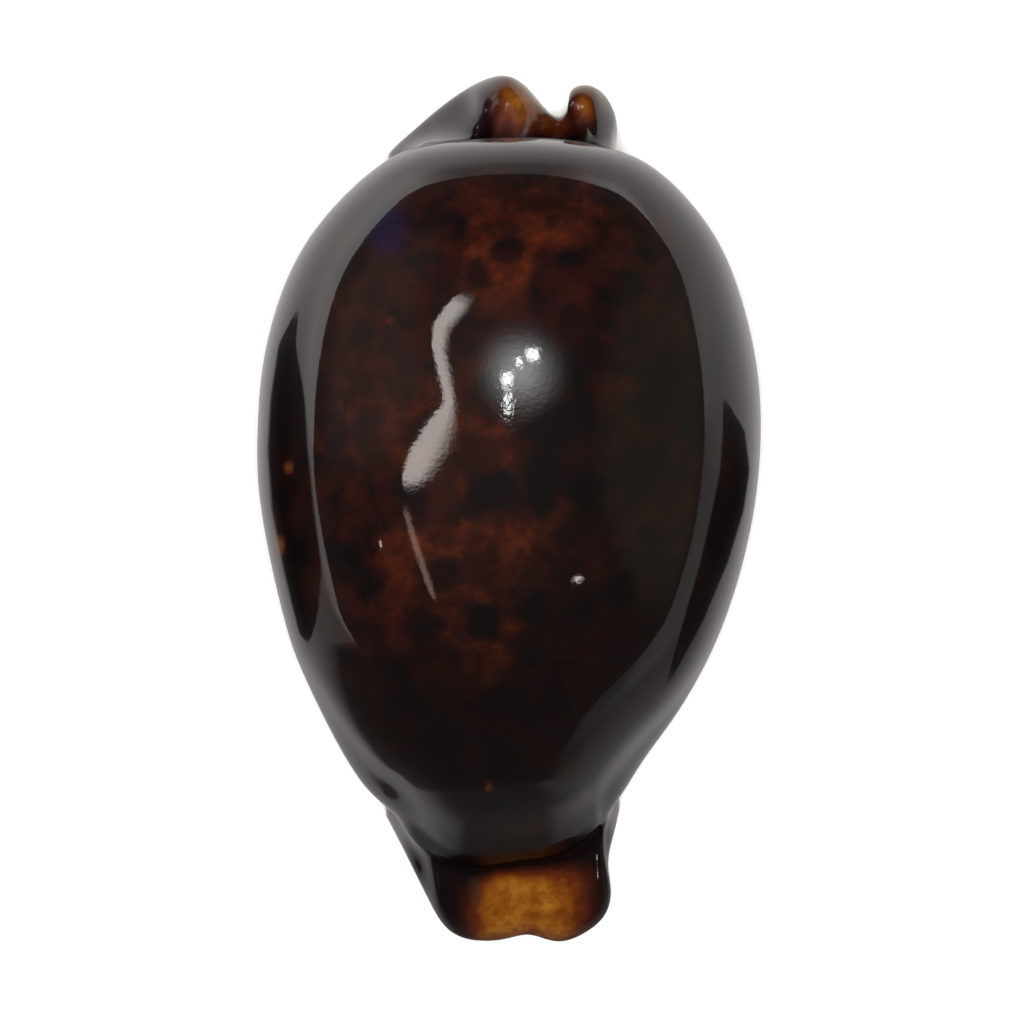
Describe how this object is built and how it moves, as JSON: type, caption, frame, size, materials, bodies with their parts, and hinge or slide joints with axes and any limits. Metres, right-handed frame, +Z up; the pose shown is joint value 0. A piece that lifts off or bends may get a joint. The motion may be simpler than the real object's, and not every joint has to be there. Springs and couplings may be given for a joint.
{
  "type": "panther cowrie shell",
  "caption": "Glossy dark brown egg-shaped sea snail shell with amber rims at both ends and a toothed slit along its base.",
  "frame": {"origin": "bottom centre of the shell's bounding box, on the surface that it rests on", "axes": "+Y towards the broad hind end along the shell's length, +Z up through the top of the dome, +X towards the inner-lip side, which is the right side seen from above with the hind end up"},
  "size_m": [0.0406, 0.07, 0.0335],
  "materials": {
    "shell_enamel": "high natural gloss, mottled dark brown above, pale fawn below, amber at both ends"
  },
  "bodies": {
    "root": {"shell": "shell_enamel"}
  },
  "joints": []
}
